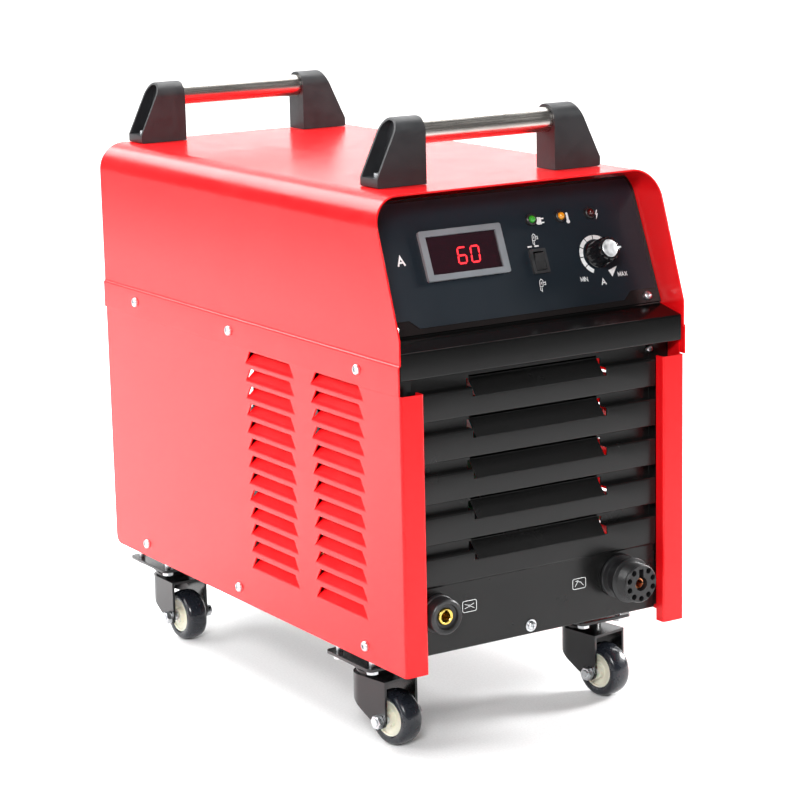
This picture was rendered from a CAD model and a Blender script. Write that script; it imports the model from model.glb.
"""Looks for the plasma cutter unit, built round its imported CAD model.

Lengths are millimetres in the machine's own frame, as in part.mjs: +X is the operator's right,
-Y the front, +Z up, and the floor is Z = 0. A piece is scaled to metres and moved to the row
frame when it is made.
"""
import math

import bmesh
import bpy
from mathutils import Matrix, Vector


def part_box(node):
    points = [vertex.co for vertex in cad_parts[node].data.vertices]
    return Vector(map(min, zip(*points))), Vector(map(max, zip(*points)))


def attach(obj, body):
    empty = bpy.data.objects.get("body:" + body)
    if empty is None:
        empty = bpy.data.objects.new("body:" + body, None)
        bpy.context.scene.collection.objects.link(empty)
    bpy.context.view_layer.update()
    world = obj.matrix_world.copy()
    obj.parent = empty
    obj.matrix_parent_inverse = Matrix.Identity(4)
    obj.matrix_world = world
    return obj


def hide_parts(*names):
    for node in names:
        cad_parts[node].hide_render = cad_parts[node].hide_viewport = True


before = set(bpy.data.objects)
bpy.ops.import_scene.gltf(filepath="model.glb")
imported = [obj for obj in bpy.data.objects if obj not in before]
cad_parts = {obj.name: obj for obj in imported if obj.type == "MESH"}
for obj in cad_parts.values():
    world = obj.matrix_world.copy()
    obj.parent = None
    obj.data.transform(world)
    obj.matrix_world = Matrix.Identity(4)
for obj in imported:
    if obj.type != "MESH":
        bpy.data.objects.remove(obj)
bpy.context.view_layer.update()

MM = 0.001
SHEET = 1.5
GAP = 0.3
HALF_WIDTH = 150
FRONT = -275.6
REAR = 275.6
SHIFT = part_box("top_cover")[0].y / MM - FRONT

# ------------------------------------------------------------------ enclosure dimensions

SKIRT_Z = 88.5
PANEL_TOP_Z = 334
BAND_TOP_Z = 359.4
BAND_STEP = 1.5
SLANT_Z = 382
DECK_Z = 497
HOOD_SETBACK = 40
CORNER_RADIUS = 26
BASE_Z = 98.5
SIDE_SCREWS_Y = (-210, 16, 206)
BAND_SCREW_Z = 347.5
SKIRT_SCREW_Z = 101.5

LOUVRE_COLUMNS_Y = (-172, -54.4)
LOUVRE_ROWS = 13
LOUVRE_PITCH = 16.25
LOUVRE_FIRST_Z = 323
LOUVRE_HEIGHT = 10
LOUVRE_FOOT = 45
LOUVRE_HEAD = 36
LOUVRE_DROP = 3.5

FLANGE_INNER_X = 126.5
FLANGE_RETURN = 10.7
STRIP_FACE_Y = -264.6
STRIP_BACK_Y = -255
STRIP_TOP_Z = 330.5
STRIP_PITCH = 36
STRIP_HEIGHT = 25
STRIP_COUNT = 5
STRIP_HALF_LENGTH = 125.8
FLAP_HALF = 68
LOWER_PLATE_Y = -262.6
LOWER_PLATE_Z = 99.8
LOWER_SCREW = (-11, 108)
LIP_SCREW = (126, 338.5)
PANEL_TOP_LIP_Z = 344
VISOR_FACE_Y = -273.5
VISOR_LOW_Z = 346
VISOR_HIGH_Z = 369.5

CONTROL_TILT = math.radians(22.7)
CONTROL_FOOT = (-244.8, 377.9)
CONTROL_HEIGHT = 118
METER = (-47.7, 65.3)
METER_OPENING = (72.5, 33.7)
LAMP_H = 87
LAMPS_X = (28.8, 60.2, 92.3)
LAMP_LENSES = ("lens_green", "lens_amber", "lens_red")
LAMP_NODES = ("power_lamp", "thermal_lamp", "fault_lamp")
PANEL_SCREW = (134, 6)
ROCKER = (27.5, 49.5)
ROCKER_TILT = math.radians(10)
KNOB = (90, 49)
KNOB_RADIUS = 12
KNOB_HEIGHT = 22

WORK_SOCKET = (-109, 137)
TORCH_SOCKET = (85, 137)
TORCH_REACH = 34.4
TORCH_HOLES = 9
TORCH_HOLE_CIRCLE = 13.4
TORCH_HOLE_RADIUS = 2.6

HANDLES_Y = {"front": -181.3, "rear": 258.7}
BRACKET_INNER_X = 67.8
BRACKET_FOOT_X = 117.6
BRACKET_HEAD_X = 93.5
BRACKET_HALF_DEPTH = 14.1
GRIP_Z = 541.5
GRIP_RADIUS = 11
GRIP_HALF_LENGTH = 79.5

CASTER_X = 115
CASTERS = (
    ("front_left", -1, -168, 10),
    ("front_right", 1, -168, 10),
    ("rear_left", -1, 221, 1),
    ("rear_right", 1, 221, -6),
)
BOLTS = [(x, y) for x in (-20, 20) for y in (-28, 28)]
TRAIL = 27
WHEEL_RADIUS = 25
TYRE_HALF_WIDTH = 10.5
HUB_RADIUS = 16.2
PLATE_Z = 77
PLATE_LOW = 74
RACE_Z = 66.3
CROWN_Z = 62
FORK_HALF_WIDTH = 19.6
FORK_SHEET = 2.5
AXLE_RADIUS = 4
FORK_EYE = 7
FORK_BACK_Z = 41

REAR_PANEL_Y = 272
REAR_FACE_Y = REAR_PANEL_Y + SHEET
FAN_Z = 190
FAN_OPENING = 70
FAN_SCREW_CIRCLE = 76
FAN_BLADES = 7
BREAKER = (-55, 375)
GLAND = (95, 300)
REGULATOR = (60, 400)
REGULATOR_REACH = 301 - REAR_FACE_Y

CAMERA_SPOT = (-1276.8, -2066.7, 793.1)
CAMERA_LENS = 117.3
CAMERA_TURN = math.radians(-32.17)
CAMERA_RISE = math.radians(12.29)
CAMERA_ROLL = math.radians(-1.25)

# ------------------------------------------------------------------ frames

AXES = {
    "x": Matrix(((0, 0, 1, 0), (1, 0, 0, 0), (0, 1, 0, 0), (0, 0, 0, 1))),
    "y": Matrix(((1, 0, 0, 0), (0, 0, 1, 0), (0, 1, 0, 0), (0, 0, 0, 1))),
    "z": Matrix.Identity(4),
}
TO_ROW = Matrix.Scale(MM, 4) @ Matrix.Translation((0, SHIFT, 0))


def at(x, y, z):
    """A point of the machine's frame in the row frame, in metres."""
    return TO_ROW @ Vector((x, y, z))


def move(x, y, z):
    return Matrix.Translation((x, y, z))


def face_frame(x, y, z, tilt=0.0):
    """Local X across, local Y up the face and local Z out of it, for a face that looks forwards."""
    return move(x, y, z) @ Matrix.Rotation(math.pi / 2 - tilt, 4, "X")


def rear_frame(x, y, z):
    return move(x, y, z) @ Matrix.Rotation(math.pi, 4, "Z") @ Matrix.Rotation(math.pi / 2, 4, "X")


def on_control(x, h):
    """A frame on the control panel, x across and h up its slope."""
    foot_y, foot_z = CONTROL_FOOT
    rise = (h * math.sin(CONTROL_TILT), h * math.cos(CONTROL_TILT))
    return face_frame(x, foot_y + rise[0], foot_z + rise[1], CONTROL_TILT)


# ------------------------------------------------------------------ outlines


def circle(radius, steps=64, centre=(0, 0), phase=0.0):
    turn = 2 * math.pi / steps
    return [
        (centre[0] + radius * math.cos(phase + i * turn), centre[1] + radius * math.sin(phase + i * turn))
        for i in range(steps)
    ]


def rectangle(x0, x1, y0, y1):
    return [(x0, y0), (x1, y0), (x1, y1), (x0, y1)]


def corner_arc(before, corner, after, radius, steps):
    """The points that round a corner off, from the side before it to the side after it."""
    corner = Vector(corner)
    back, ahead = Vector(before) - corner, Vector(after) - corner
    half = back.angle(ahead) / 2
    if half > math.radians(89.5):
        return [tuple(corner)]
    reach = min(radius / math.tan(half), 0.499 * back.length, 0.499 * ahead.length)
    radius = reach * math.tan(half)
    centre = corner + (back.normalized() + ahead.normalized()).normalized() * radius / math.sin(half)
    start = corner + back.normalized() * reach - centre
    end = corner + ahead.normalized() * reach - centre
    sweep = start.angle_signed(end)
    arc = []
    for i in range(steps + 1):
        arm = start.copy()
        arm.rotate(Matrix.Rotation(-sweep * i / steps, 2))
        arc.append(tuple(centre + arm))
    return arc


def rounded(points, radius, steps=5, closed=True):
    """An outline with its corners rounded off. radius is one number, or one for each corner."""
    count = len(points)
    radii = radius if hasattr(radius, "__len__") else [radius] * count
    made = []
    for i, point in enumerate(points):
        at_end = not closed and i in (0, count - 1)
        if at_end or radii[i] == 0:
            made.append(tuple(point))
        else:
            made += corner_arc(points[i - 1], point, points[(i + 1) % count], radii[i], steps)
    return made


def offset(path, distance):
    """An open path moved sideways, to its left for a positive distance."""
    points = [Vector(p) for p in path]
    normals = [(b - a).orthogonal().normalized() for a, b in zip(points, points[1:])]
    moved = []
    for i, point in enumerate(points):
        first = normals[max(i - 1, 0)]
        second = normals[min(i, len(normals) - 1)]
        middle = (first + second).normalized()
        moved.append(tuple(point + middle * distance / max(0.3, middle.dot(first))))
    return moved


def ribbon(path, thickness):
    """The closed outline of a strip of sheet whose one face follows the path."""
    return list(path) + offset(path, thickness)[::-1]


def stroke(path, width):
    return offset(path, width / 2) + offset(path, -width / 2)[::-1]


# ------------------------------------------------------------------ solids


def plate(loops, low, high):
    """A flat solid between two heights. The first loop is its outline, and the rest are holes."""
    bm = bmesh.new()
    rims = []
    for loop in loops:
        rim = [bm.verts.new((x, y, low)) for x, y in loop]
        rims.append(rim)
        for a, b in zip(rim, rim[1:] + rim[:1]):
            bm.edges.new((a, b))
    bmesh.ops.triangle_fill(bm, use_beauty=True, use_dissolve=False, edges=bm.edges[:])
    copied = bmesh.ops.duplicate(bm, geom=bm.verts[:] + bm.edges[:] + bm.faces[:])
    above = copied["vert_map"]
    for rim in rims:
        for vert in rim:
            above[vert].co.z = high
        for a, b in zip(rim, rim[1:] + rim[:1]):
            bm.faces.new((a, b, above[b], above[a]))
    return bm


def block(x0, x1, y0, y1, z0, z1):
    return plate([rectangle(x0, x1, y0, y1)], z0, z1)


def skinned(sections):
    """A solid through rings of points, each with the same count, closed at its two ends."""
    bm = bmesh.new()
    rings = [[bm.verts.new(point) for point in section] for section in sections]
    for lower, upper in zip(rings, rings[1:]):
        for i in range(len(lower)):
            j = (i + 1) % len(lower)
            bm.faces.new((lower[i], lower[j], upper[j], upper[i]))
    bm.faces.new(rings[0])
    bm.faces.new(rings[-1])
    return bm


def lathe(profile, steps=64):
    """A turned solid about local Z from (radius, height) points. It closes on the axis or on itself."""
    bm = bmesh.new()
    on_axis = profile[0][0] == 0
    rings = []
    for radius, height in profile:
        if radius == 0:
            rings.append([bm.verts.new((0, 0, height))] * steps)
        else:
            rings.append([bm.verts.new((x, y, height)) for x, y in circle(radius, steps)])
    pairs = list(zip(rings, rings[1:]))
    if not on_axis:
        pairs.append((rings[-1], rings[0]))
    for lower, upper in pairs:
        for i in range(steps):
            j = (i + 1) % steps
            corners = list(dict.fromkeys((lower[i], lower[j], upper[j], upper[i])))
            if len(corners) > 2:
                bm.faces.new(corners)
    return bm


def loft(sections):
    """A solid through outlines of the same count of points, each given with its height."""
    return skinned([[(x, y, height) for x, y in outline] for outline, height in sections])


def torus(radius, tube, steps=96, sides=12):
    profile = [(radius + a, b) for a, b in circle(tube, sides)]
    return lathe(profile, steps)


def sweep(path, section):
    """A closed bar whose section, in its own (u, v), follows a path of points that don't double back."""
    points = [Vector(p) for p in path]
    rings = []
    side = None
    for i, point in enumerate(points):
        ahead = (points[min(i + 1, len(points) - 1)] - points[max(i - 1, 0)]).normalized()
        side = ahead.orthogonal() if side is None else side - ahead * side.dot(ahead)
        side.normalize()
        up = ahead.cross(side)
        rings.append([point + side * u + up * v for u, v in section])
    return skinned(rings)


def moved(bm, matrix):
    bm.transform(matrix)
    return bm


def merged(solids):
    """Several solids in one mesh."""
    whole = bmesh.new()
    for bm in solids:
        scratch = bpy.data.meshes.new("scratch")
        bm.to_mesh(scratch)
        bm.free()
        whole.from_mesh(scratch)
        bpy.data.meshes.remove(scratch)
    return whole


def linked(name, data):
    """A new object in the scene."""
    made = bpy.data.objects.new(name, data)
    bpy.context.scene.collection.objects.link(made)
    return made


def combined(operation, bm, *others):
    """A solid after a boolean operation with others."""
    made = []
    for solid in (bm, *others):
        bmesh.ops.recalc_face_normals(solid, faces=solid.faces[:])
        mesh = bpy.data.meshes.new("scratch")
        solid.to_mesh(mesh)
        solid.free()
        made.append(linked("scratch", mesh))
    for other in made[1:]:
        boolean = made[0].modifiers.new("boolean", "BOOLEAN")
        boolean.operation = operation
        boolean.object = other
    shown = made[0].evaluated_get(bpy.context.evaluated_depsgraph_get())
    result = bmesh.new()
    result.from_mesh(shown.to_mesh())
    for scratch in made:
        bpy.data.meshes.remove(scratch.data)
    return result


def cut(bm, *cutters):
    return combined("DIFFERENCE", bm, *cutters)


def intersected(bm, other):
    return combined("INTERSECT", bm, other)


def around(count, build, phase=0.0):
    """Copies of a solid, turned about local Z. build makes one."""
    turns = [Matrix.Rotation(phase + 2 * math.pi * i / count, 4, "Z") for i in range(count)]
    return [moved(build(), turn) for turn in turns]


def piece(name, bm, look, body="enclosure", place=AXES["z"], replaces=(), bevel=0.0, sharp=35, steps=2):
    """Makes a piece of the object: a mesh in the row frame that rides on a body."""
    bm.transform(TO_ROW @ place)
    bmesh.ops.recalc_face_normals(bm, faces=bm.faces[:])
    mesh = bpy.data.meshes.new(name)
    bm.to_mesh(mesh)
    bm.free()
    mesh.shade_smooth()
    mesh.materials.append(MATERIALS[look])
    made = linked(name, mesh)
    if bevel:
        soften(made, bevel, steps)
    else:
        mesh.set_sharp_from_angle(angle=math.radians(sharp))
    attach(made, body)
    if replaces:
        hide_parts(*replaces)
    return made


def weighted(made):
    """Shades a bend smoothly without tilting the flat faces beside it."""
    normals = made.modifiers.new("normals", "WEIGHTED_NORMAL")
    normals.keep_sharp = True


def soften(made, width, steps=2):
    """Rounds a piece's edges off by a width in millimetres."""
    edge = made.modifiers.new("edge", "BEVEL")
    edge.width = width * MM
    edge.segments = steps
    edge.limit_method = "ANGLE"
    edge.angle_limit = math.radians(32)
    edge.harden_normals = True


# ------------------------------------------------------------------ materials


class Look:
    """A Principled material with helpers for its procedural detail, in object coordinates."""

    def __init__(self, name, color, roughness, metallic=0.0, **sockets):
        self.name = name
        self.material = bpy.data.materials.new(name + "_look")
        self.material.use_nodes = True
        self.tree = self.material.node_tree
        self.shader = self.tree.nodes["Principled BSDF"]
        self.color = (*color, 1)
        self.shader.inputs["Base Color"].default_value = self.color
        self.shader.inputs["Roughness"].default_value = roughness
        self.shader.inputs["Metallic"].default_value = metallic
        for key, value in sockets.items():
            self.shader.inputs[key.replace("_", " ")].default_value = value
        self.where = self.node("ShaderNodeTexCoord").outputs["Object"]
        self.bump_in = None

    def node(self, kind, **settings):
        made = self.tree.nodes.new(kind)
        for key, value in settings.items():
            setattr(made, key, value)
        return made

    def link(self, a, b):
        self.tree.links.new(a, b)

    def noise(self, scale, detail=3.0, stretch=(1, 1, 1), roughness=0.5):
        mapping = self.node("ShaderNodeMapping")
        mapping.inputs["Scale"].default_value = stretch
        self.link(self.where, mapping.inputs["Vector"])
        texture = self.node("ShaderNodeTexNoise")
        texture.inputs["Scale"].default_value = scale
        texture.inputs["Detail"].default_value = detail
        texture.inputs["Roughness"].default_value = roughness
        self.link(mapping.outputs["Vector"], texture.inputs["Vector"])
        return texture.outputs["Fac"]

    def cells(self, scale, feature="F1"):
        texture = self.node("ShaderNodeTexVoronoi", feature=feature)
        texture.inputs["Scale"].default_value = scale
        self.link(self.where, texture.inputs["Vector"])
        return texture.outputs["Distance"]

    def ranged(self, value, low, high, start=0.3, end=0.7):
        ramp = self.node("ShaderNodeMapRange")
        ramp.inputs["From Min"].default_value = start
        ramp.inputs["From Max"].default_value = end
        ramp.inputs["To Min"].default_value = low
        ramp.inputs["To Max"].default_value = high
        self.link(value, ramp.inputs["Value"])
        return ramp.outputs["Result"]

    def tint(self, value, dark, light, start=0.3, end=0.7):
        """Base colour between dark and light, each a factor on the look's own colour."""
        mix = self.node("ShaderNodeMix", data_type="RGBA")
        for socket, factor in (("A", dark), ("B", light)):
            target = [s for s in mix.inputs if s.name == socket and s.type == "RGBA"][0]
            target.default_value = [min(1.0, c * factor) for c in self.color[:3]] + [1]
        self.link(self.ranged(value, 0, 1, start, end), mix.inputs["Factor"])
        result = [s for s in mix.outputs if s.type == "RGBA"][0]
        self.link(result, self.shader.inputs["Base Color"])
        return self

    def rough(self, value, low, high, start=0.3, end=0.7):
        self.link(self.ranged(value, low, high, start, end), self.shader.inputs["Roughness"])
        return self

    def bump(self, value, strength, depth_mm):
        made = self.node("ShaderNodeBump")
        made.inputs["Strength"].default_value = strength
        made.inputs["Distance"].default_value = depth_mm * MM
        self.link(value, made.inputs["Height"])
        if self.bump_in:
            self.link(self.bump_in, made.inputs["Normal"])
        self.bump_in = made.outputs["Normal"]
        self.link(self.bump_in, self.shader.inputs["Normal"])
        return self


def glossy_paint():
    look = Look("red_paint", (0.80, 0.005, 0.008), 0.24, Specular_IOR_Level=0.34)
    look.tint(look.noise(6, 4), 0.95, 1.04)
    look.rough(look.noise(40, 3), 0.20, 0.27)
    return look.bump(look.noise(1100, 2), 0.06, 0.03)


def satin_paint(name, color, roughness, specular=0.5):
    look = Look(name, color, roughness, Specular_IOR_Level=specular)
    look.tint(look.noise(9, 4), 0.9, 1.12)
    look.rough(look.noise(25, 3), roughness - 0.02, roughness + 0.04)
    return look.bump(look.noise(1800, 2), 0.08, 0.03)


def textured_plastic(name, color, roughness, grain=1400, depth=0.08):
    look = Look(name, color, roughness)
    look.tint(look.noise(25, 4), 0.85, 1.2)
    look.rough(look.noise(90, 3), roughness - 0.06, roughness + 0.08)
    return look.bump(look.cells(grain), 0.35, depth).bump(look.noise(3200, 2), 0.15, 0.03)


def lens(name, color, glow):
    look = Look(name, color, 0.12, Coat_Weight=0.6, Coat_Roughness=0.04)
    look.shader.inputs["Emission Color"].default_value = (*color, 1)
    look.shader.inputs["Emission Strength"].default_value = glow
    look.tint(look.noise(400, 2), 0.8, 1.15)
    return look.bump(look.cells(900), 0.12, 0.08)


def metal(name, color, roughness, stretch=(1, 1, 1), scale=300, scratch=0.1):
    look = Look(name, color, roughness, 1.0)
    look.tint(look.noise(30, 4), 0.9, 1.08)
    grain = look.noise(scale, 5, stretch, 0.6)
    look.rough(grain, roughness * 0.75, roughness * 1.35)
    return look.bump(grain, scratch, 0.03)


def plain(name, color, roughness, glow=0.0):
    look = Look(name, color, roughness)
    if glow:
        look.shader.inputs["Emission Color"].default_value = (*color, 1)
        look.shader.inputs["Emission Strength"].default_value = glow
    look.tint(look.noise(500, 3), 0.93, 1.04)
    return look.bump(look.noise(1500, 2), 0.05, 0.02)


def rubber():
    look = Look("tyre_rubber", (0.011, 0.013, 0.018), 0.22)
    look.tint(look.noise(60, 4), 0.8, 1.3)
    look.rough(look.noise(120, 5), 0.14, 0.34)
    return look.bump(look.noise(260, 4), 0.08, 0.1).bump(look.noise(2500, 2), 0.06, 0.02)


def nylon():
    look = Look("ivory_plastic", (0.70, 0.68, 0.56), 0.42, Subsurface_Weight=0.15, Subsurface_Scale=0.004)
    look.tint(look.noise(90, 4), 0.9, 1.04)
    return look.bump(look.noise(700, 3), 0.12, 0.06)


LOOKS = [
    glossy_paint(),
    satin_paint("black_paint", (0.008, 0.008, 0.008), 0.24, 0.28),
    textured_plastic("black_plastic", (0.013, 0.013, 0.014), 0.5),
    textured_plastic("socket_plastic", (0.014, 0.014, 0.015), 0.38, 2200, 0.03),
    textured_plastic("connector_plastic", (0.010, 0.010, 0.011), 0.42, 2200, 0.03),
    textured_plastic("handle_plastic", (0.016, 0.017, 0.019), 0.42, 1500, 0.06),
    textured_plastic("knob_black", (0.006, 0.006, 0.007), 0.16, 2600, 0.01),
    textured_plastic("rocker_grey", (0.028, 0.029, 0.031), 0.38, 2000, 0.03),
    textured_plastic("bowl_plastic", (0.05, 0.052, 0.055), 0.2, 2000, 0.01),
    satin_paint("panel_black", (0.010, 0.008, 0.008), 0.22, 0.25),
    satin_paint("visor_black", (0.004, 0.004, 0.004), 0.15, 0.25),
    satin_paint("overlay_black", (0.010, 0.015, 0.021), 0.34, 0.28),
    satin_paint("caster_black", (0.008, 0.008, 0.009), 0.2),
    textured_plastic("grey_plastic", (0.17, 0.185, 0.20), 0.4, 2000, 0.03),
    textured_plastic("circuit_board", (0.03, 0.16, 0.07), 0.45, 600, 0.03),
    lens("display_window", (0.016, 0.002, 0.006), 0.0),
    lens("lens_green", (0.02, 0.24, 0.015), 0.30),
    lens("lens_amber", (0.62, 0.24, 0.01), 0.30),
    lens("lens_red", (0.05, 0.004, 0.003), 0.0),
    metal("stainless", (0.60, 0.57, 0.53), 0.26, (0.02, 1, 1), 900, 0.25),
    metal("zinc", (0.66, 0.68, 0.70), 0.3),
    metal("brass", (0.78, 0.56, 0.13), 0.24),
    metal("copper", (0.66, 0.26, 0.12), 0.3),
    metal("aluminium", (0.62, 0.64, 0.66), 0.36),
    metal("knob_cap", (0.90, 0.91, 0.92), 0.42),
    rubber(),
    nylon(),
    plain("white_print", (0.78, 0.80, 0.80), 0.5),
    plain("digit_glow", (1.0, 0.02, 0.03), 0.4, 1.6),
]
MATERIALS = {look.name: look.material for look in LOOKS}

# ------------------------------------------------------------------ fasteners


def cross(reach, half):
    """The outline of a plus sign."""
    quarter = [(reach, -half), (reach, half), (half, half)]
    outline = []
    for turn in range(4):
        c, s = ((1, 0), (0, 1), (-1, 0), (0, -1))[turn]
        outline += [(c * x - s * y, s * x + c * y) for x, y in quarter]
    return outline


def pan_screw(radius, height):
    """A pan head that stands on local Z = 0, with a cross recess."""
    profile = [(0, 0), (radius, 0), (radius, 0.3 * height), (0.96 * radius, 0.52 * height)]
    profile += [(0.86 * radius, 0.76 * height), (0.68 * radius, 0.92 * height)]
    profile += [(0.4 * radius, 0.99 * height), (0, height)]
    head = lathe(profile, 32)
    return cut(head, plate([cross(0.56 * radius, 0.13 * radius)], 0.42 * height, 2 * height))


def hexagon_nut(radius, low, high, bore=0.0):
    """A nut with chamfered corners, about local Z."""
    loops = [circle(radius, 6)] + ([circle(bore, 24)] if bore else [])
    nut = plate(loops, low, high)
    chamfer = 0.12 * radius
    cone = lathe([(0, low), (radius - chamfer, low), (radius + 0.4 * chamfer, low + 0.8 * chamfer),
                  (radius + 0.4 * chamfer, high - 0.8 * chamfer), (radius - chamfer, high), (0, high)], 48)
    return intersected(nut, cone)


SIDEWAYS = {side: Matrix.Rotation(side * math.pi / 2, 4, "Y") for side in (-1, 1)}


def side_screw(name, side, x, y, z):
    place = move(side * x, y, z) @ SIDEWAYS[side] @ Matrix.Rotation(math.radians(y), 4, "Z")
    piece(name, pan_screw(4.6, 3.3), "zinc", place=place)


# ------------------------------------------------------------------ enclosure


def hood_edge_y(z):
    return FRONT + (max(z, SLANT_Z) - SLANT_Z) * HOOD_SETBACK / (DECK_Z - SLANT_Z)


def cover_path():
    """The cover's outer section as (x, z), from the right band's foot to the left one's."""
    band = HALF_WIDTH + BAND_STEP
    right = [(band, PANEL_TOP_Z), (band, BAND_TOP_Z), (HALF_WIDTH, BAND_TOP_Z + BAND_STEP)]
    right += [(HALF_WIDTH, SLANT_Z), (HALF_WIDTH, DECK_Z), (0, DECK_Z)]
    radii = [0, 1.6, 1.6, 0, CORNER_RADIUS, 0]
    corners = right + [(-x, z) for x, z in right[-2::-1]]
    return rounded(corners, radii + radii[-2::-1], 14, closed=False)


def top_cover():
    bm = plate([ribbon(cover_path(), SHEET)], 0, 1)
    for vert in bm.verts:
        vert.co.z = REAR if vert.co.z > 0.5 else hood_edge_y(vert.co.y)
    return bm


def louvre_window(y, z):
    foot, head = z - LOUVRE_DROP, z + LOUVRE_HEIGHT
    corners = [(y - LOUVRE_FOOT, foot), (y + LOUVRE_FOOT, foot)]
    corners += [(y + LOUVRE_HEAD, head), (y - LOUVRE_HEAD, head)]
    return rounded(corners, [0, 0, 1.6, 1.6], 4)


def louvre_blade(y, z, face):
    """The tongue lanced out of a louvre's window: it bends in from the window's foot."""
    foot, height = z - LOUVRE_DROP, LOUVRE_DROP + LOUVRE_HEIGHT
    bend, lean, steps = 9.0, math.radians(31), 8
    angles = [lean * i / steps for i in range(steps + 1)]
    path = [(bend * (1 - math.cos(angle)), bend * math.sin(angle)) for angle in angles]
    depth, rise = path[-1]
    path.append((depth + (height - rise) * math.tan(lean), height))
    rings = []
    back = [(SHEET, 0)] + offset(path, -SHEET)[1:]
    for (front_in, up), (back_in, back_up) in zip(path, back):
        share = up / height
        half = LOUVRE_FOOT + (LOUVRE_HEAD - LOUVRE_FOOT) * share - 0.5 * min(1.0, 3 * share)
        corners = [(face - front_in, y - half, foot + up), (face - front_in, y + half, foot + up)]
        corners += [(face - back_in, y + half, foot + back_up), (face - back_in, y - half, foot + back_up)]
        rings.append(corners)
    return skinned(rings)


def welded(bm):
    """Joins solids that share a whole end face: the two faces between them are taken away."""
    at_corners = {}
    for face in bm.faces:
        corners = frozenset(tuple(round(c, 2) for c in vert.co) for vert in face.verts)
        at_corners.setdefault(corners, []).append(face)
    doubled = [face for same in at_corners.values() if len(same) > 1 for face in same]
    bmesh.ops.delete(bm, geom=doubled, context="FACES_ONLY")
    bmesh.ops.remove_doubles(bm, verts=bm.verts[:], dist=0.01)
    return bm


def side_panel():
    """The right side panel: a louvred sheet whose front edge folds round into a flange."""
    face, top = HALF_WIDTH - GAP, BAND_TOP_Z - SHEET - 1
    fold, flange_top = FRONT + 6, PANEL_TOP_Z - GAP
    outline = [(fold, SKIRT_Z), (REAR, SKIRT_Z), (REAR, top), (fold, top), (fold, flange_top)]
    windows = []
    blades = []
    for y in LOUVRE_COLUMNS_Y:
        for row in range(LOUVRE_ROWS):
            z = LOUVRE_FIRST_Z - row * LOUVRE_PITCH
            windows.append(louvre_window(y, z))
            blades.append(louvre_blade(y, z, face))
    sheet = moved(plate([rounded(outline, [0, 9, 0, 0, 0], 8)] + windows, face - SHEET, face), AXES["x"])
    path = [(FLANGE_INNER_X, FRONT + FLANGE_RETURN), (FLANGE_INNER_X, FRONT), (face, FRONT), (face, fold)]
    path = rounded(path, [0, 2, 2.6, 0], 6, closed=False)
    flange = plate([ribbon(path, SHEET)], SKIRT_Z, flange_top)
    return welded(merged([sheet, flange, *blades]))


def base_tray_lip():
    """A folded rim round the tray's floor."""
    half = HALF_WIDTH - 2 * SHEET
    front, rear = LOWER_PLATE_Y + 12, REAR_PANEL_Y - GAP
    path = [(-half, BASE_Z + 18), (-half, BASE_Z), (half, BASE_Z), (half, BASE_Z + 18)]
    path = rounded(path, [0, 2.4, 2.4, 0], 5, closed=False)
    return plate([ribbon(path, SHEET)], front, rear)


def enclosure():
    cover = piece("cover_shell", top_cover(), "red_paint", place=AXES["y"], replaces=["top_cover"])
    soften(cover, 0.3)
    for side, name in ((-1, "left"), (1, "right")):
        shell = side_panel()
        bmesh.ops.scale(shell, vec=(side, 1, 1), verts=shell.verts[:])
        panel = piece(name + "_panel_shell", shell, "red_paint", replaces=[name + "_side_panel"])
        weighted(panel)
        for i, y in enumerate(SIDE_SCREWS_Y):
            side_screw(f"{name}_band_screw_{i}", side, HALF_WIDTH + BAND_STEP, y, BAND_SCREW_Z)
            side_screw(f"{name}_skirt_screw_{i}", side, HALF_WIDTH - GAP, y, SKIRT_SCREW_Z)
    tray = piece("tray_shell", base_tray_lip(), "black_paint", place=AXES["y"], replaces=["base_tray"])
    soften(tray, 0.3)


enclosure()

# ------------------------------------------------------------------ front


def front_path():
    """The folded front sheet's outer section as (y, z), from its top lip down to its foot."""
    outward, inward = SHEET + 0.3, 0.4
    path = [((STRIP_BACK_Y, PANEL_TOP_LIP_Z), 0)]
    for i in range(STRIP_COUNT):
        top = STRIP_TOP_Z - i * STRIP_PITCH
        bottom = top - STRIP_HEIGHT
        path += [((STRIP_BACK_Y, top), inward), ((STRIP_FACE_Y, top), outward)]
        path.append(((STRIP_FACE_Y, bottom), outward))
        if i < STRIP_COUNT - 1:
            path.append(((STRIP_BACK_Y, bottom), inward))
    path += [((LOWER_PLATE_Y, bottom - 2), inward), ((LOWER_PLATE_Y, LOWER_PLATE_Z), outward)]
    path.append(((STRIP_BACK_Y, LOWER_PLATE_Z), 0))
    points, radii = zip(*path)
    return rounded(points, radii, 4, closed=False)


def front_sheet():
    half = STRIP_HALF_LENGTH
    section = ribbon(front_path(), SHEET)
    sheet = moved(plate([section], -half, half), AXES["x"])
    left, right = -FLAP_HALF - 2, FLAP_HALF + 4
    openings = []
    for i in range(STRIP_COUNT):
        top = STRIP_TOP_Z - i * STRIP_PITCH
        openings.append(block(left, right, STRIP_FACE_Y - 1, STRIP_BACK_Y + 3, top - 8, top + 6))
    for x, z in (WORK_SOCKET, TORCH_SOCKET):
        bore = plate([circle(12.2, 48, (x, z))], LOWER_PLATE_Y - 2, LOWER_PLATE_Y + 4)
        openings.append(moved(bore, AXES["y"]))
    return cut(sheet, *openings)


def flap(top):
    """The raised flap over a strip's upper edge."""
    path = [(STRIP_BACK_Y, top + 9), (STRIP_BACK_Y, top + 6), (STRIP_FACE_Y - 2.4, top - 7.5)]
    section = ribbon(rounded(path, 3, 5, closed=False), 1.2)
    return moved(plate([section], -FLAP_HALF, FLAP_HALF), AXES["x"])


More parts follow.
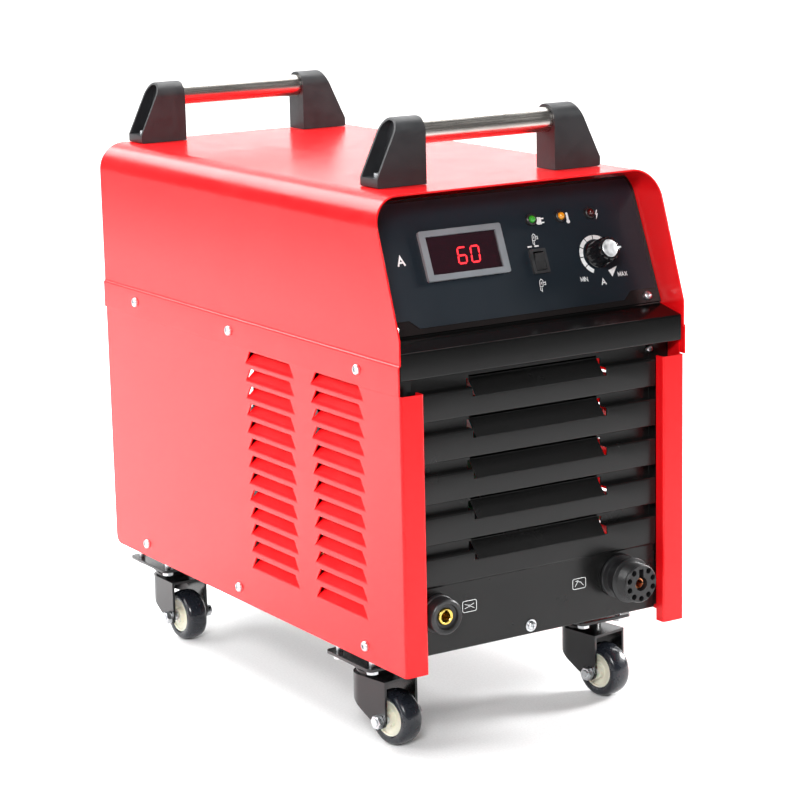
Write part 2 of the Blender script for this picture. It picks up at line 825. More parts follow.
def behind_control(depth, rise):
    """A point behind the control panel's face, at a height up its slope, as (y, z)."""
    c, s = math.cos(CONTROL_TILT), math.sin(CONTROL_TILT)
    return (CONTROL_FOOT[0] + depth * c + rise * s, CONTROL_FOOT[1] - depth * s + rise * c)


def visor():
    """The visor's section: its rear edge folds up behind the control panel's foot."""
    path = [(VISOR_FACE_Y + 9, VISOR_LOW_Z), (VISOR_FACE_Y, VISOR_LOW_Z), (VISOR_FACE_Y, VISOR_HIGH_Z)]
    path += [behind_control(SHEET + 0.4, -1.58), behind_control(SHEET + 0.4, 8)]
    half = HALF_WIDTH - SHEET - 2 * GAP
    section = rounded(path, [0, 1.8, 1.8, 0.3, 0], 5, closed=False)
    return plate([ribbon(section, -SHEET)], -half, half)


def front():
    solids = [front_sheet()]
    solids += [flap(STRIP_TOP_Z - i * STRIP_PITCH) for i in range(STRIP_COUNT)]
    near, far = STRIP_HALF_LENGTH, HALF_WIDTH - 2.5
    for x0, x1 in ((near, far), (-far, -near)):
        solids.append(block(x0, x1, STRIP_BACK_Y, STRIP_BACK_Y + SHEET, LOWER_PLATE_Z, PANEL_TOP_LIP_Z))
    sheet = piece("front_shell", merged(solids), "black_paint", replaces=["front_panel"])
    soften(sheet, 0.25)
    bar = piece("visor_shell", visor(), "visor_black", place=AXES["x"], replaces=["visor"])
    soften(bar, 0.25)
    low_screw = face_frame(LOWER_SCREW[0], LOWER_PLATE_Y, LOWER_SCREW[1])
    lip_screw = face_frame(LIP_SCREW[0], STRIP_BACK_Y, LIP_SCREW[1])
    washer = lathe([(0, 0), (5.6, 0), (5.6, 0.9), (0, 0.9)], 40)
    piece("lower_washer", washer, "zinc", place=low_screw, bevel=0.2)
    piece("lower_screw", pan_screw(4.1, 3.0), "zinc", place=low_screw @ move(0, 0, 0.9))
    piece("lip_screw", pan_screw(3.6, 2.6), "zinc", place=lip_screw)


front()

# ------------------------------------------------------------------ control panel


def panel_outline(inset, low):
    """The control panel's outline moved in by an inset, down to a height of low."""
    half = HALF_WIDTH - SHEET - 2 * GAP - inset
    across = CORNER_RADIUS - SHEET - inset
    upslope = across / math.cos(CONTROL_TILT)
    shoulder = (DECK_Z - CORNER_RADIUS - CONTROL_FOOT[1]) / math.cos(CONTROL_TILT)
    sweep = math.asin((CONTROL_HEIGHT - inset - shoulder) / upslope)
    right = []
    for i in range(13):
        angle = sweep * i / 12
        right.append((half - across + across * math.cos(angle), shoulder + upslope * math.sin(angle)))
    return [(half, low)] + right + [(-x, h) for x, h in right[::-1]] + [(-half, low)]


def overlay_outline():
    """The printed overlay: the panel's own outline, stepped up round the two corner screws."""
    upper = panel_outline(3, 12.8)
    foot = [(-117, 12.8), (-108, 5), (108, 5), (117, 12.8)]
    return upper + foot


def panel_holes(grow):
    meter = rectangle(METER[0] - 38.5, METER[0] + 38.5, METER[1] - 19.5, METER[1] + 19.5)
    rocker = rectangle(ROCKER[0] - 6.9, ROCKER[0] + 6.9, ROCKER[1] - 9.7, ROCKER[1] + 9.7)
    lamps = [circle(4.4 + grow, 32, (x, LAMP_H)) for x in LAMPS_X]
    return [meter, rocker, circle(4.8 + grow, 32, KNOB), *lamps]


def framed(width, height, radius, wide_hole, high_hole, low, high):
    """A rounded rectangular frame with a rectangular opening."""
    outer = rounded(rectangle(-width / 2, width / 2, -height / 2, height / 2), radius, 6)
    inner = rounded(rectangle(-wide_hole / 2, wide_hole / 2, -high_hole / 2, high_hole / 2), 0.8, 3)
    return plate([outer, inner], low, high)


SEGMENTS = {
    "a": ((0, 2), (1, 2)), "b": ((1, 2), (1, 1)), "c": ((1, 1), (1, 0)), "d": ((0, 0), (1, 0)),
    "e": ((0, 1), (0, 0)), "f": ((0, 2), (0, 1)), "g": ((0, 1), (1, 1)),
}


def digit(lit, x, y, width, height):
    """Seven-segment strokes with pointed ends, slanted a little."""
    bars = []
    for name in lit:
        ends = [Vector((x + width * (u - 0.5), y + height * (v / 2 - 0.5))) for u, v in SEGMENTS[name]]
        along = (ends[1] - ends[0]).normalized()
        across = along.orthogonal() * 0.75
        start, end = ends[0] + along * 0.35, ends[1] - along * 0.35
        shape = [start, start + along * 0.75 - across, end - along * 0.75 - across]
        shape += [end, end - along * 0.75 + across, start + along * 0.75 + across]
        bars.append(plate([[(p.x + 0.09 * (p.y - y), p.y) for p in shape]], 0, 0.15))
    return bars


def meter():
    place = on_control(*METER)
    wide, high = METER_OPENING
    bezel = [framed(85, 44.5, 2, wide, high, GAP, 3.4), framed(76, 38, 0.5, wide, high, -16, GAP)]
    piece("meter_frame", merged(bezel), "grey_plastic", place=place, replaces=["meter_bezel"], bevel=0.5)
    across, up = wide / 2 - GAP, high / 2 - GAP
    window = plate([rounded(rectangle(-across, across, -up, up), 0.6, 3)], -20, 1.8)
    piece("meter_window", window, "display_window", place=place, replaces=["meter_display"], bevel=0.3)
    digits = digit("acdefg", -2.6, -2.3, 8.2, 14) + digit("abcdef", 11, -2.3, 8.2, 14)
    piece("meter_digits", merged(digits), "digit_glow", place=place @ move(0, 0, 1.8))


def lamps():
    bezel = [(3.4, -9), (3.9, -9), (3.9, GAP), (5.4, GAP), (5.4, 1.2)]
    bezel += [(5.0, 3.6), (4.4, 4.1), (3.5, 3.9), (3.4, 3.4)]
    dome = [(0, 0), (3.3, 0), (3.3, 3.6), (3.05, 4.7), (2.5, 5.6), (1.7, 6.3), (0.8, 6.7), (0, 6.8)]
    for x, lens_look, node in zip(LAMPS_X, LAMP_LENSES, LAMP_NODES):
        place = on_control(x, LAMP_H)
        piece(node + "_bezel", lathe(bezel, 48), "socket_plastic", place=place)
        piece(node + "_lens", lathe(dome, 40), lens_look, place=place, replaces=[node])


def rocker():
    place = on_control(*ROCKER)
    bezel = merged([framed(17, 22, 1, 11.2, 17.2, GAP, 2.6), framed(13.2, 18.8, 0.3, 11.2, 17.2, -15, GAP)])
    piece("rocker_frame", bezel, "rocker_grey", place=place, replaces=["rocker_bezel"], bevel=0.35)
    wing = [(-7.6, 1.4), (0, 0.2), (7.6, 1.4), (7.4, -0.8), (3.6, -4), (-3.6, -4), (-7.4, -0.8)]
    paddle = plate([rounded(wing, [0.5, 6, 0.5, 0, 0, 0, 0], 6)], -5.2, 5.2)
    tilted = place @ Matrix.Rotation(ROCKER_TILT, 4, "X") @ move(0, 0, 2.4) @ AXES["x"]
    piece("rocker_switch", paddle, "black_plastic", "rocker", tilted, ["rocker_paddle"], bevel=0.3)


def scalloped(radius, count, depth, steps):
    """A circle with shallow hollows all round, like a knob's grip."""
    outline = []
    for i in range(count * steps):
        angle = 2 * math.pi * i / (count * steps)
        hollow = max(0.0, math.cos(count * angle)) ** 1.5
        reach = radius - depth * hollow
        outline.append((reach * math.cos(angle), reach * math.sin(angle)))
    return outline


def knob():
    place = on_control(*KNOB)
    top = KNOB_HEIGHT
    rim = KNOB_RADIUS + 0.6
    skirt = lathe([(0, 1), (rim, 1), (rim, 2.2), (rim - 0.6, 2.8), (0, 2.8)], 64)
    levels = ((0, 2.7, 0), (0, 4, 1.1), (0.8, top - 2.2, 1.5), (1.4, top - 0.8, 1.2), (2.4, top, 0.5))
    grip = loft([(scalloped(KNOB_RADIUS - taper, 10, depth, 12), z) for taper, z, depth in levels])
    shaft = lathe([(0, -8), (3, -8), (3, 1), (0, 1)], 24)
    solids = merged([skirt, grip, shaft])
    piece("knob_grip", solids, "knob_black", "knob", place, ["current_knob"], sharp=40)
    cap = [(0, -0.2), (7.8, -0.2), (7.9, 0.2), (7.5, 0.5), (6.8, 0.6), (0, 0.6)]
    piece("knob_cap", lathe([(r, top + z) for r, z in cap], 64), "knob_cap", "knob", place)
    pointer = block(8.1, 12.2, -0.7, 0.7, top - 2.4, top - 0.1)
    piece("knob_pointer", pointer, "white_print", "knob", place, bevel=0.15)


# Strokes of the few generic marks, on a unit square.
STROKES = {
    "A": [[(0, 0), (0.5, 1), (1, 0)], [(0.2, 0.36), (0.8, 0.36)]],
    "I": [[(0, 0), (0, 1)]],
    "M": [[(0, 0), (0, 1), (0.5, 0.25), (1, 1), (1, 0)]],
    "N": [[(0, 0), (0, 1), (1, 0), (1, 1)]],
    "X": [[(0, 0), (1, 1)], [(0, 1), (1, 0)]],
}


def lettering(word, x, h, height, width, thick):
    """Outlines of a word's strokes, centred on a point."""
    widths = [0 if letter == "I" else width for letter in word]
    space = 1.45 * thick
    left = x - (sum(widths) + space * (len(word) - 1)) / 2
    shapes = []
    for letter, wide in zip(word, widths):
        for path in STROKES[letter]:
            points = [(left + u * wide, h + (v - 0.5) * (height - thick)) for u, v in path]
            shapes.append(stroke(points, thick))
        left += wide + space
    return shapes


def band(centre, inner, outer, start, end, steps=6):
    """A piece of a ring between two angles in degrees."""
    angles = [math.radians(start + (end - start) * i / steps) for i in range(steps + 1)]
    rim = [(centre[0] + outer * math.cos(a), centre[1] + outer * math.sin(a)) for a in angles]
    return rim + [(centre[0] + inner * math.cos(a), centre[1] + inner * math.sin(a)) for a in angles[::-1]]


def torch_icon(x, h, size):
    """A small hand torch seen from the side, in line: body, nozzle and a finned grip."""
    lines = [
        [(-0.2, 0), (-0.12, 0.5), (0.06, 0.66), (0.24, 0.52), (0.12, 0), (-0.2, 0)],
        [(-0.02, 0.2), (0.04, 0.42)],
        [(-0.18, -0.04), (-0.22, -0.3), (-0.06, -0.44), (-0.02, -0.06)],
        [(0.2, 0.36), (0.5, 0.3)],
        [(0.26, 0.14), (0.46, 0.12), (0.44, 0.44)],
    ]
    return [stroke([(x + u * size, h + v * size) for u, v in line], 0.5) for line in lines]


def scale_marks():
    """The knob's scale: a broken arc that ends in an arrowhead."""
    first, last, count = 244, -6, 8
    step = (last - first) / count
    marks = [band(KNOB, 14.2, 18, first + i * step, first + (i + 1) * step + 3, 5) for i in range(count)]
    return marks + [[(98.6, 33.6), (108.9, 36.7), (101.4, 27.6)]]


def lamp_icons():
    plug = [band((37.4, 85.4), 0.01, 3.5, 70, 290, 14)]
    plug.append([(37.4, 88.7), (40.2, 88.7), (40.2, 82.1), (37.4, 82.1)])
    plug += [rectangle(40.2, 43.2, 86.6, 87.8), rectangle(40.2, 43.2, 83.0, 84.2)]
    glass = [circle(1.9, 20, (68.6, 82)), rounded(rectangle(67.4, 69.8, 83, 90.2), 1.1, 4)]
    bolt = [(101.2, 89.4), (98.6, 85), (100.2, 85), (99.2, 80.8), (102.4, 86), (100.7, 86), (102.4, 89.4)]
    return plug + glass + [bolt]


def control_print():
    """Every printed mark on the control panel."""
    shapes = scale_marks() + lamp_icons()
    shapes += lettering("A", -111.5, 64.3, 9.4, 7.0, 1.5)
    shapes += lettering("A", 90.6, 23.8, 6.2, 4.8, 1.05)
    shapes += lettering("MIN", 70.6, 28.3, 4.3, 2.7, 0.6)
    shapes += lettering("MAX", 113, 28.7, 4.3, 2.7, 0.6)
    shapes += torch_icon(28, 68.5, 9) + torch_icon(24.5, 27, 10)
    shapes += [rectangle(19.4, 23.9, 62.7, 64), rectangle(26.7, 31.3, 62.7, 64)]
    return merged([plate([shape], 0, 0.12) for shape in shapes])


def control():
    place = on_control(0, 0)
    sheet = plate([panel_outline(0, 0), *panel_holes(0)], -SHEET, 0)
    flange = block(-120, 120, CONTROL_HEIGHT - SHEET, CONTROL_HEIGHT, -12, -SHEET)
    panel = merged([sheet, flange])
    piece("control_shell", panel, "panel_black", place=place, replaces=["control_panel"], bevel=0.25)
    overlay = plate([overlay_outline(), *panel_holes(0.4)], 0.02, 0.3)
    piece("control_overlay", overlay, "overlay_black", place=place, bevel=0.1)
    piece("control_print", control_print(), "white_print", place=place @ move(0, 0, 0.3))
    for side, name in ((-1, "left"), (1, "right")):
        spot = place @ move(side * PANEL_SCREW[0], PANEL_SCREW[1], 0)
        piece(name + "_panel_screw", pan_screw(4.3, 3.4), "zinc", place=spot)
    meter()
    lamps()
    rocker()
    knob()


control()

# ------------------------------------------------------------------ sockets


def work_socket():
    place = face_frame(WORK_SOCKET[0], LOWER_PLATE_Y, WORK_SOCKET[1])
    collar = [(7.8, -14), (11.9, -14), (11.9, GAP), (16.6, GAP), (17, 0.8), (17, 3.5), (16.6, 4.1)]
    collar += [(15.8, 4.5), (15.8, 14.4), (15.4, 15.3), (14.4, 16), (12.2, 16), (11.6, 15.6)]
    collar += [(11, 12.7), (10.6, 12.5), (7.8, 12.5)]
    piece("work_collar", lathe(collar, 80), "socket_plastic", place=place, replaces=["work_socket_collar"])
    brass = [(0, -24), (7.3, -24), (7.3, 13.5), (6.8, 14.1), (6.2, 14.2), (5.2, 14.2), (4.6, 13.6)]
    brass += [(4.6, -12), (0, -12)]
    insert = cut(lathe(brass, 64), block(-1.6, 1.6, 0, 6, -2, 15))
    piece("work_contact", insert, "brass", place=place, replaces=["work_socket_insert"], bevel=0.15)


def thread(radius, low, high, pitch, depth):
    """The profile of a fine thread, as (radius, height) up its side."""
    turns = int((high - low) / pitch)
    profile = []
    for i in range(turns):
        z = low + i * pitch
        profile += [(radius - depth, z + 0.1 * pitch), (radius, z + 0.45 * pitch)]
        profile.append((radius, z + 0.65 * pitch))
    return profile + [(radius - depth, low + turns * pitch)]


def torch_socket():
    place = face_frame(TORCH_SOCKET[0], LOWER_PLATE_Y, TORCH_SOCKET[1])
    barrel = [(0, -18), (11.9, -18), (11.9, GAP), (19.6, GAP), (20, 0.8), (20, 3.1), (19.6, 3.7)]
    barrel += [(15.7, 4.3), (15.5, 4.6), (15.5, 15.9), (16, 16.3), (20, 17), (20.4, 17.4), (20.4, 19)]
    barrel += [(20.1, 19.4), (17.4, 20.3)] + thread(17.3, 20.6, 32.6, 1.25, 0.6)
    barrel += [(17.2, 33.2), (16.3, TORCH_REACH), (0, TORCH_REACH)]
    cutters = [plate([circle(6.3, 40)], 8, 40), block(-2.4, 2.4, 4, 13.4, 22, 40)]
    for i in range(TORCH_HOLES):
        angle = math.pi / 2 + (i + 1) * 2 * math.pi / (TORCH_HOLES + 1)
        centre = (TORCH_HOLE_CIRCLE * math.cos(angle), TORCH_HOLE_CIRCLE * math.sin(angle))
        cutters.append(plate([circle(TORCH_HOLE_RADIUS, 24, centre)], 22, 40))
    socket = cut(lathe(barrel, 96), *cutters)
    piece("torch_barrel", socket, "connector_plastic", place=place, replaces=["torch_connector"], sharp=30)
    contact = [(0, 8.3), (5.2, 8.3), (5.2, 30), (4.9, 30.7), (4.4, 31), (3.7, 30.8), (3.4, 30.2)]
    contact += [(3.4, 14), (0, 14)]
    slits = [block(-8, 8, -0.5, 0.5, 18, 34), block(-0.5, 0.5, -8, 8, 18, 34)]
    piece("torch_pin", cut(lathe(contact, 48), *slits), "copper", place=place, replaces=["torch_contact"])


def badge(x0, x1, z0, z1):
    """A rounded outline round a pictogram."""
    outer = rounded(rectangle(x0, x1, z0, z1), 2, 5)
    inner = rounded(rectangle(x0 + 0.5, x1 - 0.5, z0 + 0.5, z1 - 0.5), 1.6, 5)
    return plate([outer, inner], 0, 0.12)


def front_print():
    """The two pictograms beside the sockets: a clamp and a torch."""
    shapes = [stroke([(-80.5, 139.5), (-75, 137.6), (-70.5, 139.3)], 0.45)]
    shapes += [stroke([(-80.5, 135.6), (-75, 137.2), (-70.5, 135)], 0.45)]
    shapes += [circle(1.1, 16, (-75.6, 137.4))]
    shapes += [stroke([(37.4, 134.6), (40.4, 138.9), (43.4, 138.2), (46.6, 134.8)], 0.5)]
    shapes += [stroke([(38, 139.4), (41, 139.8)], 0.45)]
    badges = [badge(-83, -68, 132, 142.5), badge(34.6, 49.3, 132, 142)]
    return merged(badges + [plate([shape], 0, 0.12) for shape in shapes])


work_socket()
torch_socket()
piece("front_print", front_print(), "white_print", place=face_frame(0, LOWER_PLATE_Y, 0))

# ------------------------------------------------------------------ handles


def bracket():
    """The right bracket of a handle, at y = 0: a wedge under an arch, hollowed from outside."""
    foot, head = DECK_Z + GAP, GRIP_Z + BRACKET_HALF_DEPTH
    side = [(BRACKET_INNER_X, foot), (BRACKET_FOOT_X, foot), (BRACKET_FOOT_X, foot + 8)]
    side += [(BRACKET_HEAD_X, head), (BRACKET_INNER_X, head)]
    wedge = moved(plate([rounded(side, [0, 1.5, 2, 2, 1.5], 4)], -20, 20), AXES["y"])

    def arch(inset, floor):
        radius = BRACKET_HALF_DEPTH - inset
        return [(-radius, floor), (radius, floor)] + [
            (radius * math.cos(math.pi * i / 32), GRIP_Z + radius * math.sin(math.pi * i / 32))
            for i in range(33)
        ]

    body = intersected(wedge, moved(plate([arch(0, foot - 1)], 60, 130), AXES["x"]))
    recess = moved(plate([arch(2.5, foot + 8)], BRACKET_INNER_X + 15, 130), AXES["x"])
    back_wall = [(100, foot), (140, foot), (140, head + 5), (86, head + 5)]
    recess = intersected(recess, moved(plate([back_wall], -20, 20), AXES["y"]))
    seat = plate([circle(GRIP_RADIUS + GAP, 48, (0, GRIP_Z))], 60, GRIP_HALF_LENGTH + GAP)
    return cut(body, recess, moved(seat, AXES["x"]))


def handles():
    inner = GRIP_RADIUS - 1.6
    end = GRIP_HALF_LENGTH
    tube = [(inner, -end), (GRIP_RADIUS, -end), (GRIP_RADIUS, end), (inner, end)]
    for name, y in HANDLES_Y.items():
        for side, word in ((-1, "left"), (1, "right")):
            solid = bracket()
            bmesh.ops.scale(solid, vec=(side, 1, 1), verts=solid.verts[:])
            node = f"{name}_handle_bracket_{word}"
            place = move(0, y, 0)
            piece(node + "_shell", solid, "handle_plastic", place=place, replaces=[node], bevel=1.1, steps=3)
            screw = move(side * 107.5, y, DECK_Z + GAP + 8)
            piece(f"{name}_{word}_foot_screw", hexagon_nut(4.6, 0, 3.4), "zinc", place=screw)
        grip = f"{name}_handle_grip"
        place = move(0, y, GRIP_Z) @ AXES["x"]
        piece(grip + "_tube", lathe(tube, 96), "stainless", place=place, replaces=[grip])


handles()

# ------------------------------------------------------------------ casters


def fork_edge_z(y):
    """The lower edge of the fork's side: round the axle's eye, then up in a curve to the back."""
    eye = FORK_EYE
    from_axle = y + TRAIL
    if from_axle < 0.8 * eye:
        return WHEEL_RADIUS - math.sqrt(max(0.0, eye * eye - from_axle * from_axle))
    share = (from_axle - 0.8 * eye) / (TRAIL + FORK_HALF_WIDTH - 0.8 * eye)
    start = WHEEL_RADIUS - 0.6 * eye
    return start + (FORK_BACK_Z - start) * (0.55 * share + 0.45 * share * share * (3 - 2 * share))


def fork():
    """A pressed steel fork in its own frame: swivel axis at the origin, wheel trailing to -Y."""
    low, half = CROWN_Z - FORK_SHEET, FORK_HALF_WIDTH
    front = -TRAIL - FORK_EYE
    straight = [front * (24 - i) / 24 for i in range(24)]
    arc = [math.pi * i / 48 for i in range(49)]
    path = [(half, y) for y in straight] + [(half * math.cos(a), half * math.sin(a)) for a in arc]
    path += [(-half, y) for y in straight[::-1]]
    rings = []
    for (x, y), (inner_x, inner_y) in zip(path, offset(path, FORK_SHEET)):
        edge = fork_edge_z(y)
        rings.append([(x, y, CROWN_Z), (x, y, edge), (inner_x, inner_y, edge), (inner_x, inner_y, CROWN_Z)])
    inside = offset(path, FORK_SHEET - 0.02)
    crown = plate([inside], low, CROWN_Z)
    boss = lathe([(0, CROWN_Z), (17, CROWN_Z), (17, 65.2), (16.2, 66), (0, 66)], 64)
    return merged([skinned(rings), crown, boss])


def mounting_plate():
    outline = rounded(rectangle(-29, 29, -38, 38), 5, 6)
    slots = [rounded(rectangle(x - 3.2, x + 3.2, y - 3.4, y + 3.4), 3.1, 5) for x, y in BOLTS]
    race = [(0, RACE_Z + 0.1), (17.5, RACE_Z + 0.1), (19.4, RACE_Z + 1), (20, RACE_Z + 2.4)]
    race += [(20, PLATE_LOW - 1.2), (21.5, PLATE_LOW), (0, PLATE_LOW)]
    return merged([plate([outline] + slots, PLATE_LOW, PLATE_Z), lathe(race, 64)])


def bolts():
    made = []
    for x, y in BOLTS:
        shank = lathe([(0, 69), (3, 69), (3, 98.2), (0, 98.2)], 24)
        nut = hexagon_nut(5.8, 69.6, PLATE_LOW - 0.8, 3)
        washer = lathe([(3, 73.2), (6.6, 73.2), (6.6, PLATE_LOW), (3, PLATE_LOW)], 32)
        made += [moved(solid, move(x, y, 0)) for solid in (shank, nut, washer)]
    return merged(made)


def axle():
    half = FORK_HALF_WIDTH + GAP
    end = half + 6.9
    made = [lathe([(0, -end), (3.6, -end), (4, 0.6 - end), (4, end - 0.6), (3.6, end), (0, end)], 32)]
    made += [hexagon_nut(6.3, half, half + 5.5, 3.9), hexagon_nut(6.3, -half - 5.5, -half, 3.9)]
    return merged(made)


def hub_ring():
    bore = AXLE_RADIUS + GAP
    half = [(7.5, 12), (7.5, 7.6), (8.2, 7), (13.6, 7.6), (14.4, 8.2), (14.6, 9.5), (HUB_RADIUS, 9.6)]
    profile = [(bore, 12)] + half + [(r, -z) for r, z in half[::-1]] + [(bore, -12)]
    return lathe(profile, 80)


def tyre():
    bore, half = HUB_RADIUS + GAP, TYRE_HALF_WIDTH
    side = [(bore, 9.6), (17.2, 10.1), (20.5, half), (22.4, 9.9), (23.7, 8.4), (24.4, 6.4)]
    side += [(24.85, 3.6), (WHEEL_RADIUS, 1.4)]
    return lathe(side + [(r, -z) for r, z in side[::-1]], 96)


def casters():
    for name, side, y, turn in CASTERS:
        mount = move(side * CASTER_X, y, 0)
        swivel = mount @ Matrix.Rotation(math.radians(turn), 4, "Z")
        wheel = swivel @ move(0, -TRAIL, WHEEL_RADIUS) @ AXES["x"]
        turning, rolling = name + "_swivel", name + "_wheel"
        node = name + "_caster_plate"
        piece(node + "_shell", mounting_plate(), "caster_black", place=mount, replaces=[node], bevel=0.4)
        piece(name + "_bolts", bolts(), "zinc", place=mount)
        node = name + "_caster_fork"
        piece(node + "_shell", fork(), "caster_black", turning, swivel, [node], bevel=0.5)
        piece(name + "_axle_bolt", axle(), "zinc", turning, wheel, [name + "_axle"])
        piece(name + "_hub_ring", hub_ring(), "ivory_plastic", rolling, wheel, [name + "_hub"])
        piece(name + "_tyre_ring", tyre(), "tyre_rubber", rolling, wheel, [name + "_tyre"])


casters()

# ------------------------------------------------------------------ rear


def rear_sheet():
    half, top = HALF_WIDTH - SHEET - 2 * GAP, DECK_Z - SHEET - GAP
    corner = CORNER_RADIUS - SHEET
    outline = rounded(rectangle(-half, half, BASE_Z, top), [0, 0, corner, corner], 12)
    x, z = BREAKER
    slot = rectangle(x - 28, x + 28, z - 24, z + 24)
    holes = [circle(FAN_OPENING, 96, (0, FAN_Z)), slot, circle(11.7, 40, GLAND), circle(7.6, 32, REGULATOR)]
    return plate([outline] + holes, REAR_PANEL_Y, REAR_FACE_Y)


def fan_guard():
    parts = [moved(torus(radius, 1.3, 96, 10), move(0, 0, 4.3)) for radius in (68, 50, 32)]
    parts += around(4, lambda: sweep([(10, 0, 2.6), (74, 0, 2.6)], circle(1.3, 10)), math.pi / 4)
    foot = [(0, GAP), (5, GAP), (5, 1.4), (4.4, 2), (0, 2)]
    head = [(0, 2), (3.6, 2), (3.4, 3.4), (2.2, 4.4), (0, 4.8)]
    for turned in (foot, head):
        parts += around(4, lambda: moved(lathe(turned, 24), move(FAN_SCREW_CIRCLE, 0, 0)), math.pi / 4)
    return merged(parts + [lathe([(0, 1.2), (12, 1.2), (12, 3.2), (11, 4), (0, 4)], 48)])


def fan_blade():
    """One twisted blade along local X, cupped a little across its chord."""
    rings = []
    for i in range(9):
        share = i / 8
        radius = 19 + share * 47
        pitch = math.radians(48 - 20 * share)
        chord = 10 + 5 * share
        ring = []
        for side, count in ((1, range(7)), (-1, range(6, -1, -1))):
            for j in count:
                u = (j / 6 - 0.5) * 2
                w = side * 0.8 * (1.05 - u * u) + 1.6 * (1 - u * u)
                y = u * chord * math.cos(pitch) - w * math.sin(pitch)
                z = u * chord * math.sin(pitch) + w * math.cos(pitch)
                ring.append((math.sqrt(max(1.0, radius**2 - y * y)), y, z * 0.78))
        rings.append(ring)
    return skinned(rings)


def fan():
    rotor = [lathe([(0, -30), (21, -30), (22, -29), (22, -8), (20.8, -6.4), (18, -6), (0, -6)], 64)]
    rotor += [moved(blade, move(0, 0, -18)) for blade in around(FAN_BLADES, fan_blade)]
    place = rear_frame(0, REAR_PANEL_Y - GAP, FAN_Z)
    piece("fan_blades", merged(rotor), "black_plastic", "fan", place, ["fan_rotor"])
    guard_place = rear_frame(0, REAR_FACE_Y, FAN_Z)
    piece("fan_guard_wires", fan_guard(), "zinc", place=guard_place, replaces=["fan_guard"])


def breaker():
    x, z = BREAKER
    place = rear_frame(x, REAR_FACE_Y, z)
    nose = [rounded(rectangle(-27, 27, -22.5, 22.5), 1.5, 5), rectangle(-14.5, 14.5, -12, 12)]
    body = merged([block(-27, 27, -43, 43, -62, -10), plate(nose, -10, 8)])
    piece("breaker_shell", body, "grey_plastic", place=place, replaces=["breaker_body"], bevel=0.6)
    tilt = place @ move(0, 0, 4) @ Matrix.Rotation(math.radians(-25), 4, "X")
    barrel = moved(lathe([(0, -13.5), (7, -13.5), (7, 13.5), (0, 13.5)], 48), AXES["x"])
    lever = plate([rounded(rectangle(-12, 12, 2, 15), [0, 0, 2, 2], 5)], -2.4, 2.4)
    solids = merged([barrel, moved(lever, AXES["y"])])
    toggle = ["breaker_toggle"]
    piece("breaker_lever_shell", solids, "black_plastic", "breaker_lever", tilt, toggle, bevel=0.4)


def gland():
    place = rear_frame(GLAND[0], REAR_FACE_Y, GLAND[1])
    profile = [(6.5, -12), (11.2, -12), (11.2, GAP), (17, GAP), (17, 6.4), (16.4, 7.2), (14.5, 8)]
    profile += [(14.5, 17), (14.2, 18), (13.2, 20.4), (11.4, 23.8), (9.8, 26.4), (8.6, 27), (6.5, 27)]
    ribs = around(12, lambda: block(13.6, 15.4, -0.9, 0.9, 8, 17))
    solids = merged([lathe(profile, 64)] + ribs)
    piece("gland_shell", solids, "black_plastic", place=place, replaces=["mains_gland"])


def regulator():
    reach = REGULATOR_REACH
    place = rear_frame(REGULATOR[0], REAR_FACE_Y, REGULATOR[1])
    stub = [lathe([(0, -14), (7, -14), (7, 8), (0, 8)], 40), hexagon_nut(11, GAP, 5)]
    piece("regulator_inlet", merged(stub), "brass", place=place)
    up = place @ move(0, 0, reach) @ Matrix.Rotation(-math.pi / 2, 4, "X")
    down = place @ move(0, 0, reach) @ Matrix.Rotation(math.pi / 2, 4, "X")
    head = plate([rounded(rectangle(-20, 20, -16, 16), 3, 5)], 6.5, reach + 20)
    bonnet = lathe([(0, 14), (14, 14), (14, 23.2), (13.2, 24), (0, 24)], 48)
    body = merged([head, moved(bonnet, place.inverted() @ up)])
    piece("regulator_head", body, "aluminium", place=place, replaces=["air_regulator"], bevel=0.5)
    bowl = [(0, 15), (18, 15), (18, 21), (17, 22), (17, 58), (15.6, 62.4), (12, 65.4), (5, 66)]
    bowl += [(4, 66.4), (4, 71), (3.2, 72), (0, 72)]
    piece("regulator_bowl", lathe(bowl, 64), "bowl_plastic", place=down)
    rings = ((16.0, 24.3), (16.0, 29), (15.7, 33), (15.3, 42.6), (14.4, 43.8), (13, 44))
    cap = loft([(scalloped(radius, 16, 0.8 if z > 30 else 0.0, 8), z) for radius, z in rings])
    piece("regulator_cap_shell", cap, "black_plastic", "regulator_cap", up, ["regulator_knob"], sharp=40)


def rear():
    panel = piece("rear_shell", rear_sheet(), "black_paint", place=AXES["y"], replaces=["rear_panel"])
    soften(panel, 0.25)
    fan()
    breaker()
    gland()
    regulator()


rear()

# ------------------------------------------------------------------ pieces kept as they are

KEPT = {
    "fan_frame": "black_plastic",
    "control_board": "circuit_board",
    "potentiometer": "aluminium",
    "heatsink": "aluminium",
    "power_board": "circuit_board",
    "main_transformer": "copper",
    "solenoid_valve": "brass",
}
for node, look in KEPT.items():
    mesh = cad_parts[node].data
    mesh.materials.clear()
    mesh.materials.append(MATERIALS[look])
    soften(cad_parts[node], 0.3)

# ------------------------------------------------------------------ stage, light and camera


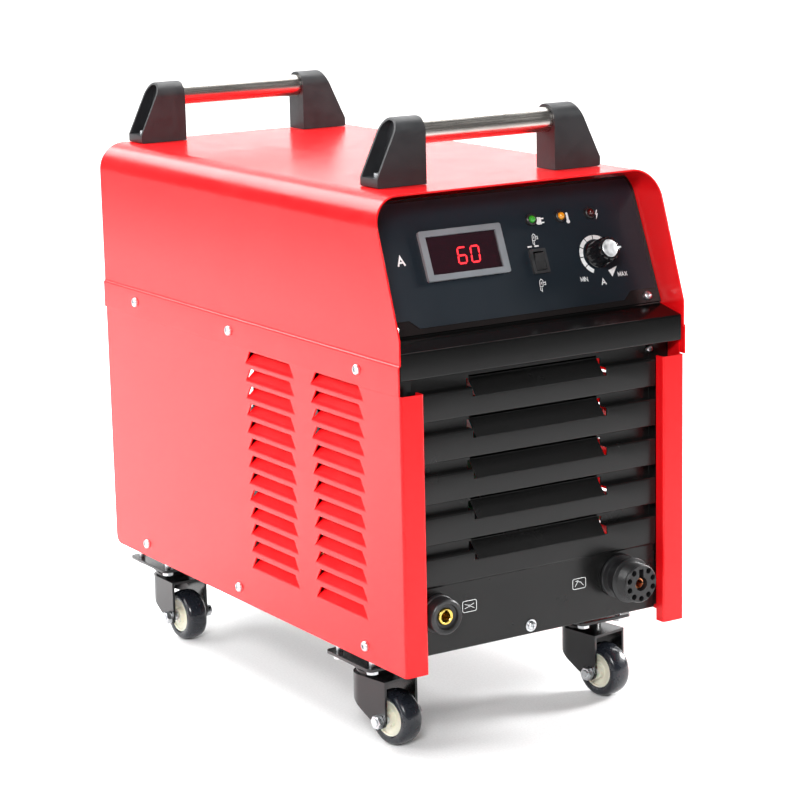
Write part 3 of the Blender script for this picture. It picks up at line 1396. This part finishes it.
def studio():
    """A pale floor that curves up into a backdrop behind the machine."""
    path = [(-6, 0), (3.2, 0)]
    for i in range(1, 17):
        angle = math.pi / 2 * i / 16
        path.append((3.2 + 1.5 * math.sin(angle), 1.5 - 1.5 * math.cos(angle)))
    path.append((4.7, 6))
    bm = bmesh.new()
    sides = [[bm.verts.new((x, y, z)) for y, z in path] for x in (-9, 9)]
    for i in range(len(path) - 1):
        bm.faces.new((sides[0][i], sides[1][i], sides[1][i + 1], sides[0][i + 1]))
    bm.transform(Matrix.Rotation(CAMERA_TURN, 4, "Z"))
    bmesh.ops.recalc_face_normals(bm, faces=bm.faces[:])
    mesh = bpy.data.meshes.new("studio")
    bm.to_mesh(mesh)
    bm.free()
    mesh.shade_smooth()
    mesh.materials.append(plain("studio_white", (0.93, 0.93, 0.93), 0.7).material)
    linked("studio", mesh)


def softbox(name, spot, aim, size, power, spread=180):
    light = bpy.data.lights.new(name, "AREA")
    light.shape = "RECTANGLE"
    light.size, light.size_y = size
    light.energy = power
    light.spread = math.radians(spread)
    made = linked(name, light)
    made.location = spot
    made.rotation_euler = (Vector(aim) - Vector(spot)).to_track_quat("-Z", "Y").to_euler()


def camera():
    lens = bpy.data.cameras.new("camera")
    lens.lens = CAMERA_LENS
    lens.sensor_width = 36
    lens.clip_end = 50
    made = linked("camera", lens)
    turn = Matrix.Rotation(CAMERA_TURN, 4, "Z") @ Matrix.Rotation(math.pi / 2 - CAMERA_RISE, 4, "X")
    made.matrix_world = move(*at(*CAMERA_SPOT)) @ turn @ Matrix.Rotation(CAMERA_ROLL, 4, "Z")
    bpy.context.scene.camera = made


world = bpy.data.worlds.new("world")
world.use_nodes = True
background = world.node_tree.nodes["Background"].inputs
background["Color"].default_value = (1, 1, 1, 1)
background["Strength"].default_value = 0.12
bpy.context.scene.world = world
bpy.context.scene.view_settings.view_transform = "Standard"

studio()
softbox("top_light", (0.1, 0.9, 2.5), (0, 0.2, 0.3), (2.8, 2.4), 86)
softbox("left_light", (-2.4, 0.9, 1.4), (0, 0.1, 0.3), (2.2, 2.0), 62)
softbox("right_light", (2.9, -0.5, 1.3), (0, -0.2, 0.3), (0.8, 0.8), 30, spread=80)
softbox("front_light", (-1.7, -2.2, 1.7), (0, -0.2, 0.35), (0.8, 0.6), 8, spread=60)
softbox("corner_light", (-0.7, 2.9, 2.3), (0, 0, 0.4), (1.8, 1.2), 40)
softbox("backdrop_left", (-1.2, 1.9, 2.8), (1.6, 4.0, 0.6), (2.5, 1.5), 120)
softbox("backdrop_right", (2.6, 0.4, 2.8), (2.8, 4.0, 0.6), (2.5, 1.5), 120)
camera()
